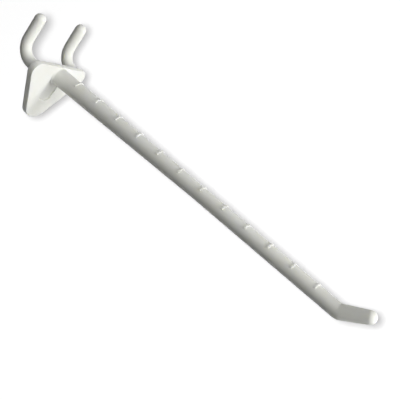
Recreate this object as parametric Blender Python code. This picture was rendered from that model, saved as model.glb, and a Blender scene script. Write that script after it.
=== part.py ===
"""A display hook moulded in one piece of white nylon, for perforated board.

Two upturned pegs go through a pair of board holes, a rounded triangular plate bears on the
front of the board, and a long round arm reaches forward, rising a little, to an upturned, domed
tip. Low ridges across the top of the arm keep hung goods apart, and a shallow recess as wide as
the arm runs down the plate below it.

Frame: +Z up, +X to the right, the arm towards -Y. The origin lies on the back of the plate,
midway between the pegs, at the height of their axes. Metres throughout.
"""
import math

import bmesh
import bpy
from mathutils import Matrix, Vector

MM = 0.001

# Pegs: standard hole spacing, and how far behind the plate they stand and how high they rise
PEG_SPACING = 25.4 * MM
PEG_DIAMETER = 4.2 * MM
PEG_FILLET = 0.4 * MM
PEG_REACH = 8.3 * MM
PEG_BEND_RADIUS = 6.2 * MM
PEG_TURN = math.radians(87)
PEG_RISE = 15.5 * MM

# Plate: a triangle with its point down, sized at its sharp corners
PLATE_THICKNESS = 2.3 * MM
PLATE_WIDTH = 37.2 * MM
PLATE_HEIGHT = 26.7 * MM
PLATE_ABOVE_PEGS = 2.7 * MM
PLATE_TOP_CORNER = 3.2 * MM
PLATE_BOTTOM_CORNER = 6.6 * MM
PLATE_EDGE_ROUND = 0.25 * MM

# Arm: its top is one straight line, and its underside tapers as far as the slender stretch
ARM_RISE = math.radians(3)
ARM_ROOT_DIAMETER = 6.5 * MM
ARM_DIAMETER = 5.3 * MM
ARM_BELOW_PLATE_TOP = 0.3 * MM
ARM_FILLET = 0.5 * MM

# Ridges: low beads over the top of the arm, spaced along it from the front of the plate, each
# reaching down both sides by the half angle from the top
RIDGE_COUNT = 12
RIDGE_START = 9.0 * MM
RIDGE_PITCH = 10.0 * MM
RIDGE_WIDTH = 0.8 * MM
RIDGE_HEIGHT = 0.25 * MM
RIDGE_HALF_ANGLE = math.radians(58)
RIDGE_EDGE_ROUND = 0.3 * MM
TAPER_RIDGES = 6

# Tip: turned up from the arm one pitch past the last ridge
TIP_ANGLE = math.radians(30)
TIP_BEND_RADIUS = 3.0 * MM
TIP_LENGTH = 12.5 * MM
TIP_DIAMETER = 4.7 * MM

# Recess: a shallow sunk strip down the front of the plate below the arm
RECESS_WIDTH = 6.5 * MM
RECESS_DEPTH = 0.5 * MM
RECESS_BELOW_PEGS = 11.7 * MM
RECESS_CORNER = 1.8 * MM

# Fineness of the facets, and small allowances for joining and cutting
ARM_SIDES = 40
PEG_SIDES = 32
BEND_STEP = math.radians(6)
DOME_STEPS = 8
DOME_STOP_SHORT = 0.35
CORNER_STEP = math.radians(7.5)
FILLET_STEPS = 4
ROOT_SINK = 0.05 * MM
SAME_PLACE = 0.01 * MM
CUTTER_PROUD = 1.0 * MM
ROUND_SEGMENTS = 3
SHARP_ANGLE = math.radians(35)

NYLON_COLOUR = (0.83, 0.84, 0.78, 1.0)
NYLON_ROUGHNESS = 0.42

# Values that follow from the ones above
PLATE_TOP = PLATE_ABOVE_PEGS
PLATE_FRONT = -PLATE_THICKNESS
ARM_TOP = PLATE_TOP - ARM_BELOW_PLATE_TOP
TAPER_END = RIDGE_START + TAPER_RIDGES * RIDGE_PITCH
TIP_BEND = RIDGE_START + RIDGE_COUNT * RIDGE_PITCH


def clear_scene():
    for item in list(bpy.data.objects):
        bpy.data.objects.remove(item)


def nylon():
    material = bpy.data.materials.new("white_nylon")
    material.use_nodes = True
    shader = material.node_tree.nodes["Principled BSDF"]
    shader.inputs["Base Color"].default_value = NYLON_COLOUR
    shader.inputs["Roughness"].default_value = NYLON_ROUGHNESS
    shader.inputs["Metallic"].default_value = 0.0
    return material


def arc(centre, radius, start, end, step):
    """Points on an arc in a plane, both ends included."""
    count = max(1, math.ceil(abs(end - start) / step))
    angles = [start + (end - start) * i / count for i in range(count + 1)]
    return [(centre[0] + radius * math.cos(a), centre[1] + radius * math.sin(a)) for a in angles]


def rounded_outline(corners, radii):
    """The corners of a convex outline, listed anticlockwise, each rounded to its radius."""
    points = []
    for i, (corner, radius) in enumerate(zip(corners, radii)):
        here = Vector(corner)
        back = (Vector(corners[i - 1]) - here).normalized()
        ahead = (Vector(corners[(i + 1) % len(corners)]) - here).normalized()
        half = back.angle(ahead) / 2
        centre = here + (back + ahead).normalized() * radius / math.sin(half)
        middle = math.atan2(here.y - centre.y, here.x - centre.x)
        sweep = math.pi / 2 - half
        points += arc(centre, radius, middle - sweep, middle + sweep, CORNER_STEP)
    return points


def mesh_object(name, mesh, collection):
    made = bpy.data.objects.new(name, mesh)
    collection.objects.link(made)
    return made


def mesh_from_curve(name, curve, placement, collection):
    """The curve's evaluated surface as a closed mesh object, and the curve removed."""
    source = bpy.data.objects.new(name + "_curve", curve)
    source.matrix_world = placement
    collection.objects.link(source)
    graph = bpy.context.evaluated_depsgraph_get()
    mesh = bpy.data.meshes.new_from_object(source.evaluated_get(graph))
    mesh.transform(source.matrix_world)
    bpy.data.objects.remove(source)
    bpy.data.curves.remove(curve)
    work = bmesh.new()
    work.from_mesh(mesh)
    bmesh.ops.remove_doubles(work, verts=work.verts, dist=SAME_PLACE / 10)
    bmesh.ops.recalc_face_normals(work, faces=work.faces)
    work.to_mesh(mesh)
    work.free()
    return mesh_object(name, mesh, collection)


def slab(name, outline, back, front, collection):
    """A flat outline in X and Z, extruded between two depths in Y."""
    curve = bpy.data.curves.new(name, "CURVE")
    curve.dimensions = "2D"
    curve.fill_mode = "BOTH"
    curve.extrude = (back - front) / 2
    spline = curve.splines.new("POLY")
    spline.points.add(len(outline) - 1)
    for point, (x, z) in zip(spline.points, outline):
        point.co = (x, z, 0, 1)
    spline.use_cyclic_u = True
    upright = Matrix.Rotation(math.pi / 2, 4, "X")
    placement = Matrix.Translation((0, (back + front) / 2, 0)) @ upright
    return mesh_from_curve(name, curve, placement, collection)


def rod(name, stations, sides, collection):
    """A round bar through stations of place and radius, with flat ends."""
    curve = bpy.data.curves.new(name, "CURVE")
    curve.dimensions = "3D"
    curve.bevel_depth = 1.0
    curve.bevel_resolution = (sides - 4) // 2
    curve.use_fill_caps = True
    curve.twist_mode = "Z_UP"
    spline = curve.splines.new("POLY")
    spline.points.add(len(stations) - 1)
    for point, (place, radius) in zip(spline.points, stations):
        point.co = (*place, 1)
        point.radius = radius
    return mesh_from_curve(name, curve, Matrix.Identity(4), collection)


def round_edges(item, width, chosen=lambda place: True):
    """Rounds the sharp edges of a mesh object whose ends both pass a test of their place."""
    work = bmesh.new()
    work.from_mesh(item.data)
    sharp = [edge for edge in work.edges
             if edge.calc_face_angle() > SHARP_ANGLE and all(chosen(v.co) for v in edge.verts)]
    bmesh.ops.bevel(work, geom=sharp, offset=width, segments=ROUND_SEGMENTS, profile=0.5,
                    affect="EDGES", clamp_overlap=True)
    work.to_mesh(item.data)
    work.free()


def combined(name, body, operation, others, collection):
    """One closed mesh object of the body joined with, or cut by, the others, which are removed."""
    for item in others:
        step = body.modifiers.new(operation.lower(), "BOOLEAN")
        step.operation = operation
        step.solver = "EXACT"
        step.object = item
    graph = bpy.context.evaluated_depsgraph_get()
    mesh = bpy.data.meshes.new_from_object(body.evaluated_get(graph))
    mesh.name = name
    for item in [body, *others]:
        bpy.data.objects.remove(item)
    return mesh_object(name, mesh, collection)


def recess(collection):
    """The cutter for the sunk strip, whose upper corners lie inside the arm."""
    half = RECESS_WIDTH / 2
    top = ARM_TOP - ARM_ROOT_DIAMETER / 2
    corners = [(-half, top), (-half, -RECESS_BELOW_PEGS), (half, -RECESS_BELOW_PEGS), (half, top)]
    outline = rounded_outline(corners, [RECESS_CORNER] * len(corners))
    return slab("recess", outline, PLATE_FRONT + RECESS_DEPTH, PLATE_FRONT - CUTTER_PROUD, collection)


def plate(collection):
    """The rounded triangle with soft front edges and the recess cut into it."""
    half = PLATE_WIDTH / 2
    corners = [(-half, PLATE_TOP), (0, PLATE_TOP - PLATE_HEIGHT), (half, PLATE_TOP)]
    radii = [PLATE_TOP_CORNER, PLATE_BOTTOM_CORNER, PLATE_TOP_CORNER]
    made = slab("plate", rounded_outline(corners, radii), 0, PLATE_FRONT, collection)
    round_edges(made, PLATE_EDGE_ROUND, lambda place: place.y < PLATE_FRONT + SAME_PLACE)
    return combined("plate", made, "DIFFERENCE", [recess(collection)], collection)


def on_arm(along, above):
    """A point so far along the arm's top line from the plate, and so far square to it."""
    return Vector((0, PLATE_FRONT - along * math.cos(ARM_RISE) + above * math.sin(ARM_RISE),
                   ARM_TOP + along * math.sin(ARM_RISE) + above * math.cos(ARM_RISE)))


def arm_radius(along):
    """Radius of the arm, tapering from the plate to the slender stretch."""
    share = min(1.0, along / TAPER_END)
    return (ARM_ROOT_DIAMETER + (ARM_DIAMETER - ARM_ROOT_DIAMETER) * share) / 2


def root_fillet(fillet):
    """Distances from a wall and the radius to add there, from just inside the wall outwards."""
    steps = [(-PLATE_THICKNESS / 2, fillet), (-ROOT_SINK, fillet)]
    for step in range(1, FILLET_STEPS + 1):
        angle = math.pi / 2 * step / FILLET_STEPS
        steps.append((fillet * (1 - math.cos(angle)), fillet * (1 - math.sin(angle))))
    return steps


def dome(centre, heading, radius):
    """Stations that close a rod with a round end beyond its last full section."""
    stations = []
    for i in range(1, DOME_STEPS + 1):
        angle = math.pi / 2 * i / (DOME_STEPS + DOME_STOP_SHORT)
        stations.append((centre + heading * radius * math.sin(angle), radius * math.cos(angle)))
    return stations


def arm_and_tip(collection):
    stations = []
    for along, flare in [*root_fillet(ARM_FILLET), (TAPER_END, 0)]:
        radius = arm_radius(along)
        stations.append((on_arm(along, -radius), radius + flare))

    # The bend is laid so that the arm's and the tip's centre lines cross at TIP_BEND
    radius = ARM_DIAMETER / 2
    start = TIP_BEND - TIP_BEND_RADIUS * math.tan(TIP_ANGLE / 2)
    turns = math.ceil(TIP_ANGLE / BEND_STEP)
    for i in range(turns + 1):
        turn = TIP_ANGLE * i / turns
        along = start + TIP_BEND_RADIUS * math.sin(turn)
        above = TIP_BEND_RADIUS * (1 - math.cos(turn)) - radius
        stations.append((on_arm(along, above), radius))

    slope = ARM_RISE + TIP_ANGLE
    heading = Vector((0, -math.cos(slope), math.sin(slope)))
    tip_radius = TIP_DIAMETER / 2
    dome_centre = on_arm(TIP_BEND, -radius) + heading * (TIP_LENGTH - tip_radius)
    stations.append((dome_centre, tip_radius))
    stations += dome(dome_centre, heading, tip_radius)
    return rod("arm", stations, ARM_SIDES, collection)


def peg(side, collection):
    x = side * PEG_SPACING / 2
    radius = PEG_DIAMETER / 2
    stations = [(Vector((x, away, 0)), radius + flare) for away, flare in root_fillet(PEG_FILLET)]
    bend_start = PEG_REACH - PEG_BEND_RADIUS
    turns = math.ceil(PEG_TURN / BEND_STEP)
    for i in range(turns + 1):
        turn = PEG_TURN * i / turns
        y = bend_start + PEG_BEND_RADIUS * math.sin(turn)
        z = PEG_BEND_RADIUS * (1 - math.cos(turn))
        stations.append((Vector((x, y, z)), radius))
    heading = Vector((0, math.cos(PEG_TURN), math.sin(PEG_TURN)))
    bend_end = stations[-1][0]
    dome_centre = bend_end + heading * (PEG_RISE - radius - bend_end.z) / heading.z
    stations.append((dome_centre, radius))
    stations += dome(dome_centre, heading, radius)
    return rod("peg", stations, PEG_SIDES, collection)


def ridge(index, collection):
    """A bead that follows the top of the arm: a slice of a disc whose point lies on the arm's axis."""
    along = RIDGE_START + index * RIDGE_PITCH
    radius = arm_radius(along)
    over = arc((0, 0), radius + RIDGE_HEIGHT, math.pi / 2 - RIDGE_HALF_ANGLE,
               math.pi / 2 + RIDGE_HALF_ANGLE, CORNER_STEP)
    made = slab("ridge", [(0, 0), *over], RIDGE_WIDTH / 2, -RIDGE_WIDTH / 2, collection)
    round_edges(made, RIDGE_EDGE_ROUND)
    on_top = Matrix.Translation(on_arm(along, -radius)) @ Matrix.Rotation(-ARM_RISE, 4, "X")
    made.data.transform(on_top)
    return made


def main():
    clear_scene()
    collection = bpy.data.collections.new("display_hook")
    bpy.context.scene.collection.children.link(collection)
    additions = [arm_and_tip(collection)]
    additions += [peg(side, collection) for side in (-1, 1)]
    additions += [ridge(index, collection) for index in range(RIDGE_COUNT)]
    hook = combined("hook", plate(collection), "UNION", additions, collection)
    hook.data.materials.clear()
    hook.data.materials.append(nylon())
    hook.data.shade_smooth()
    hook.data.set_sharp_from_angle(angle=SHARP_ANGLE)


main()
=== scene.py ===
"""Studio scene for the moulded nylon display hook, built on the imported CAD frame.

The hook is seen over a plain pale table, from the photograph's angle. Metres throughout.
"""

import bmesh
import bpy
from mathutils import Matrix, Vector


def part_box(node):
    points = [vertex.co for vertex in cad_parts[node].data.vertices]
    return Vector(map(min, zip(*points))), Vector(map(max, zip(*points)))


MM = 0.001

# Camera: solved from the plate, pegs, arm outline and ridges of the photograph
CAMERA_PLACE = Vector((-0.308568, -0.186498, 0.100187))
CAMERA_RIGHT = Vector((0.438253, -0.684541, 0.582527))
CAMERA_UP = Vector((0.002866, 0.649140, 0.760663))
CAMERA_LENS = 93.869
SENSOR_WIDTH = 36.0
CLIP_START = 0.01
CLIP_END = 20.0

# Table: a plane behind the hook as the camera sees it, parallel to the arm, and far enough from it
# for the pegs, the arm and the tip to throw soft shadows of about one width
TABLE_NORMAL = Vector((-0.95, 0.016, 0.31)).normalized()
TABLE_GAP = 100.0 * MM
TABLE_HALF_SIZE = 0.8
TABLE_FADE_START = 0.25
TABLE_FADE_END = 0.7
TABLE_COLOUR = (0.80, 0.80, 0.80, 1.0)
TABLE_GLOW = 0.42

# Lamps on the hook: direction towards each one, distance, width and power
LAMP_DISTANCE = 0.9
KEY_DIRECTION = Vector((0.02, -0.93, 0.37))
KEY_WIDTH = 0.18
KEY_POWER = 4.5
FILL_DIRECTION = Vector((-0.46, -0.54, 0.71))
FILL_WIDTH = 0.5
FILL_POWER = 4.85

# Table lamp: a small round lamp just left of the camera and above it, which lights only the table
TABLE_LAMP_LEFT = 6.1 * MM
TABLE_LAMP_ABOVE = 2.5 * MM
TABLE_LAMP_RADIUS = 7.4 * MM
TABLE_LAMP_POWER = 30.0

# Light from all round: a gradient, brightest from the front and dark from the sides to the back
SKY_AXIS = Vector((0.0, -1.0, 0.0))
SKY_DARK = 0.0
SKY_BRIGHT = 0.50
WHITE = (1.0, 1.0, 1.0, 1.0)

# Nylon colour: broad faint clouds between the plain colour and a slightly warmer one
NYLON_COLOUR = (0.80, 0.808, 0.775)
WARM_SHARE = (0.985, 0.975, 0.95)
WARM_TO = 0.35
COOL_FROM = 0.68
CLOUD_SCALE = 160.0
CLOUD_DETAIL = 4.0

# Nylon surface: slow flow of the moulding, which also varies the gloss, and a fine grain on it
FLOW_SCALE = 420.0
FLOW_DETAIL = 2.0
FLOW_STRENGTH = 0.12
FLOW_HEIGHT = 0.10 * MM
GRAIN_SCALE = 5200.0
GRAIN_DETAIL = 3.0
GRAIN_STRENGTH = 0.10
GRAIN_HEIGHT = 0.03 * MM
ROUGHNESS_LEAST = 0.38
ROUGHNESS_MOST = 0.50
NYLON_IOR = 1.53
NYLON_SPECULAR = 0.25

# Light let through the nylon
GLOW_THROUGH = 0.9
GLOW_REACH = 1.4 * MM
GLOW_TINT = (1.0, 1.0, 0.92)


def add_nodes(tree, kinds):
    """One new node of each kind, in the order given."""
    return [tree.nodes.new(kind) for kind in kinds]


def seen_directly(tree):
    """1 for what the camera sees, straight or in gloss or through glass, and 0 for light that falls."""
    path, gloss, glass = add_nodes(tree, [
        "ShaderNodeLightPath", "ShaderNodeMath", "ShaderNodeMath"])
    gloss.operation = "MAXIMUM"
    glass.operation = "MAXIMUM"
    tree.links.new(path.outputs["Is Camera Ray"], gloss.inputs[0])
    tree.links.new(path.outputs["Is Glossy Ray"], gloss.inputs[1])
    tree.links.new(gloss.outputs[0], glass.inputs[0])
    tree.links.new(path.outputs["Is Transmission Ray"], glass.inputs[1])
    return glass.outputs[0]


def nylon_material():
    """Satin white nylon: faint mottling, a fine moulded grain, and a little light let through."""
    material = bpy.data.materials.new("moulded_nylon")
    material.use_nodes = True
    tree = material.node_tree
    shader = tree.nodes["Principled BSDF"]
    place, clouds, grain, flow, tint, gloss, grain_bump, flow_bump = add_nodes(tree, [
        "ShaderNodeTexCoord", "ShaderNodeTexNoise", "ShaderNodeTexNoise", "ShaderNodeTexNoise",
        "ShaderNodeValToRGB", "ShaderNodeMapRange", "ShaderNodeBump", "ShaderNodeBump"])
    link = tree.links.new

    clouds.inputs["Scale"].default_value = CLOUD_SCALE
    clouds.inputs["Detail"].default_value = CLOUD_DETAIL
    link(place.outputs["Object"], clouds.inputs["Vector"])
    warm, cool = tint.color_ramp.elements
    warm.position = WARM_TO
    warm.color = (*(level * share for level, share in zip(NYLON_COLOUR, WARM_SHARE)), 1.0)
    cool.position = COOL_FROM
    cool.color = (*NYLON_COLOUR, 1.0)
    link(clouds.outputs["Fac"], tint.inputs["Fac"])
    link(tint.outputs["Color"], shader.inputs["Base Color"])

    flow.inputs["Scale"].default_value = FLOW_SCALE
    flow.inputs["Detail"].default_value = FLOW_DETAIL
    link(place.outputs["Object"], flow.inputs["Vector"])
    gloss.inputs["To Min"].default_value = ROUGHNESS_LEAST
    gloss.inputs["To Max"].default_value = ROUGHNESS_MOST
    link(flow.outputs["Fac"], gloss.inputs["Value"])
    link(gloss.outputs["Result"], shader.inputs["Roughness"])

    grain.inputs["Scale"].default_value = GRAIN_SCALE
    grain.inputs["Detail"].default_value = GRAIN_DETAIL
    link(place.outputs["Object"], grain.inputs["Vector"])
    grain_bump.inputs["Strength"].default_value = GRAIN_STRENGTH
    grain_bump.inputs["Distance"].default_value = GRAIN_HEIGHT
    link(grain.outputs["Fac"], grain_bump.inputs["Height"])
    flow_bump.inputs["Strength"].default_value = FLOW_STRENGTH
    flow_bump.inputs["Distance"].default_value = FLOW_HEIGHT
    link(flow.outputs["Fac"], flow_bump.inputs["Height"])
    link(grain_bump.outputs["Normal"], flow_bump.inputs["Normal"])
    link(flow_bump.outputs["Normal"], shader.inputs["Normal"])

    shader.inputs["IOR"].default_value = NYLON_IOR
    shader.inputs["Specular IOR Level"].default_value = NYLON_SPECULAR
    shader.inputs["Subsurface Weight"].default_value = GLOW_THROUGH
    shader.inputs["Subsurface Radius"].default_value = GLOW_TINT
    shader.inputs["Subsurface Scale"].default_value = GLOW_REACH
    return material


def table_material():
    """Pale matt card that shows white where nothing shades it, keeps shadows and fades out far off."""
    material = bpy.data.materials.new("pale_table")
    material.use_nodes = True
    tree = material.node_tree
    tree.nodes.clear()
    out, card, glow, lit, clear, shown, path, side, strength = add_nodes(tree, [
        "ShaderNodeOutputMaterial", "ShaderNodeBsdfDiffuse", "ShaderNodeEmission",
        "ShaderNodeAddShader", "ShaderNodeBsdfTransparent", "ShaderNodeMixShader",
        "ShaderNodeLightPath", "ShaderNodeNewGeometry", "ShaderNodeMath"])
    place, reach, fade, unseen, hidden = add_nodes(tree, [
        "ShaderNodeTexCoord", "ShaderNodeVectorMath", "ShaderNodeMapRange", "ShaderNodeMath",
        "ShaderNodeMath"])
    link = tree.links.new

    card.inputs["Color"].default_value = TABLE_COLOUR
    strength.operation = "MULTIPLY"
    strength.inputs[1].default_value = TABLE_GLOW
    link(seen_directly(tree), strength.inputs[0])
    link(strength.outputs[0], glow.inputs["Strength"])
    link(card.outputs[0], lit.inputs[0])
    link(glow.outputs[0], lit.inputs[1])

    reach.operation = "LENGTH"
    link(place.outputs["Object"], reach.inputs[0])
    fade.inputs["From Min"].default_value = TABLE_FADE_START
    fade.inputs["From Max"].default_value = TABLE_FADE_END
    link(reach.outputs["Value"], fade.inputs["Value"])
    unseen.operation = "MAXIMUM"
    link(fade.outputs["Result"], unseen.inputs[0])
    link(side.outputs["Backfacing"], unseen.inputs[1])
    hidden.operation = "MULTIPLY"
    link(path.outputs["Is Camera Ray"], hidden.inputs[0])
    link(unseen.outputs[0], hidden.inputs[1])

    link(hidden.outputs[0], shown.inputs["Fac"])
    link(lit.outputs[0], shown.inputs[1])
    link(clear.outputs[0], shown.inputs[2])
    link(shown.outputs[0], out.inputs["Surface"])
    return material


def table(hook):
    """A plane TABLE_GAP behind the hook's farthest point."""
    farthest = min(TABLE_NORMAL.dot(hook.matrix_world @ v.co) for v in hook.data.vertices)
    mesh = bpy.data.meshes.new("table")
    work = bmesh.new()
    bmesh.ops.create_grid(work, x_segments=1, y_segments=1, size=TABLE_HALF_SIZE)
    work.to_mesh(mesh)
    work.free()
    mesh.materials.append(table_material())
    plane = bpy.data.objects.new("table", mesh)
    bpy.context.scene.collection.objects.link(plane)
    plane.rotation_mode = "QUATERNION"
    plane.rotation_quaternion = TABLE_NORMAL.to_track_quat("Z", "Y")
    plane.location = TABLE_NORMAL * (farthest - TABLE_GAP)
    return plane


def new_lamp(name, kind, power, receiver):
    """A lamp whose light is kept to one object."""
    lamp = bpy.data.objects.new(name, bpy.data.lights.new(name, kind))
    bpy.context.scene.collection.objects.link(lamp)
    lamp.data.energy = power
    group = bpy.data.collections.new(name + "_receivers")
    group.objects.link(receiver)
    lamp.light_linking.receiver_collection = group
    return lamp


def hook_lamp(name, direction, width, power, hook):
    """A round soft lamp in the given direction, aimed at the hook's middle."""
    low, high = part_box("hook")
    middle = (Vector(low) + Vector(high)) / 2
    lamp = new_lamp(name, "AREA", power, hook)
    lamp.data.shape = "DISK"
    lamp.data.size = width
    lamp.rotation_mode = "QUATERNION"
    lamp.rotation_quaternion = direction.to_track_quat("Z", "Y")
    lamp.location = middle + direction.normalized() * LAMP_DISTANCE


def table_lamp(plane):
    """The lamp beside the camera that throws the hook's shadow on the table."""
    lamp = new_lamp("table_lamp", "POINT", TABLE_LAMP_POWER, plane)
    lamp.data.shadow_soft_size = TABLE_LAMP_RADIUS
    lamp.location = CAMERA_PLACE - CAMERA_RIGHT * TABLE_LAMP_LEFT + CAMERA_UP * TABLE_LAMP_ABOVE
    even_over_distance(lamp)


def even_over_distance(lamp):
    """Lets a lamp light near and far surfaces alike."""
    lamp.data.use_nodes = True
    tree = lamp.data.node_tree
    falloff = tree.nodes.new("ShaderNodeLightFalloff")
    falloff.inputs["Strength"].default_value = 1.0
    tree.links.new(falloff.outputs["Constant"], tree.nodes["Emission"].inputs["Strength"])


def surroundings():
    """White to the eye, to gloss and through glass, and a soft gradient of light from the front."""
    world = bpy.data.worlds.new("studio")
    bpy.context.scene.world = world
    world.use_nodes = True
    tree = world.node_tree
    tree.nodes.clear()
    out, white, sky, mix, place, facing, level = add_nodes(tree, [
        "ShaderNodeOutputWorld", "ShaderNodeBackground", "ShaderNodeBackground",
        "ShaderNodeMixShader", "ShaderNodeTexCoord", "ShaderNodeVectorMath", "ShaderNodeMapRange"])
    link = tree.links.new
    white.inputs["Color"].default_value = WHITE
    facing.operation = "DOT_PRODUCT"
    facing.inputs[1].default_value = SKY_AXIS
    link(place.outputs["Generated"], facing.inputs[0])
    level.inputs["To Min"].default_value = SKY_DARK
    level.inputs["To Max"].default_value = SKY_BRIGHT
    link(facing.outputs["Value"], level.inputs["Value"])
    link(level.outputs["Result"], sky.inputs["Strength"])
    link(seen_directly(tree), mix.inputs["Fac"])
    link(sky.outputs[0], mix.inputs[1])
    link(white.outputs[0], mix.inputs[2])
    link(mix.outputs[0], out.inputs["Surface"])


def camera():
    """The photograph's camera."""
    back = CAMERA_RIGHT.cross(CAMERA_UP)
    turn = Matrix((CAMERA_RIGHT, CAMERA_UP, back)).transposed()
    data = bpy.data.cameras.new("photo_camera")
    data.sensor_width = SENSOR_WIDTH
    data.lens = CAMERA_LENS
    data.clip_start = CLIP_START
    data.clip_end = CLIP_END
    made = bpy.data.objects.new("photo_camera", data)
    made.matrix_world = Matrix.Translation(CAMERA_PLACE) @ turn.to_4x4()
    bpy.context.scene.collection.objects.link(made)
    bpy.context.scene.camera = made


def dress(hook):
    """Gives the CAD hook its finished nylon."""
    material = nylon_material()
    for slot in hook.material_slots:
        slot.material = material


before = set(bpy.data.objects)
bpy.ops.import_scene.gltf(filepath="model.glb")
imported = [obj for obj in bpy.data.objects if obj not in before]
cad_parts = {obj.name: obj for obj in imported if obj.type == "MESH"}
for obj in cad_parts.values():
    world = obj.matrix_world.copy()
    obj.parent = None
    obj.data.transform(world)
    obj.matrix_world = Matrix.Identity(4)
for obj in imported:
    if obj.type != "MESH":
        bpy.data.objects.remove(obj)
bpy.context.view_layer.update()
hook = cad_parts["hook"]
camera()
dress(hook)
plane = table(hook)
hook_lamp("key_lamp", KEY_DIRECTION, KEY_WIDTH, KEY_POWER, hook)
hook_lamp("fill_lamp", FILL_DIRECTION, FILL_WIDTH, FILL_POWER, hook)
table_lamp(plane)
surroundings()
bpy.context.scene.view_settings.view_transform = "Standard"
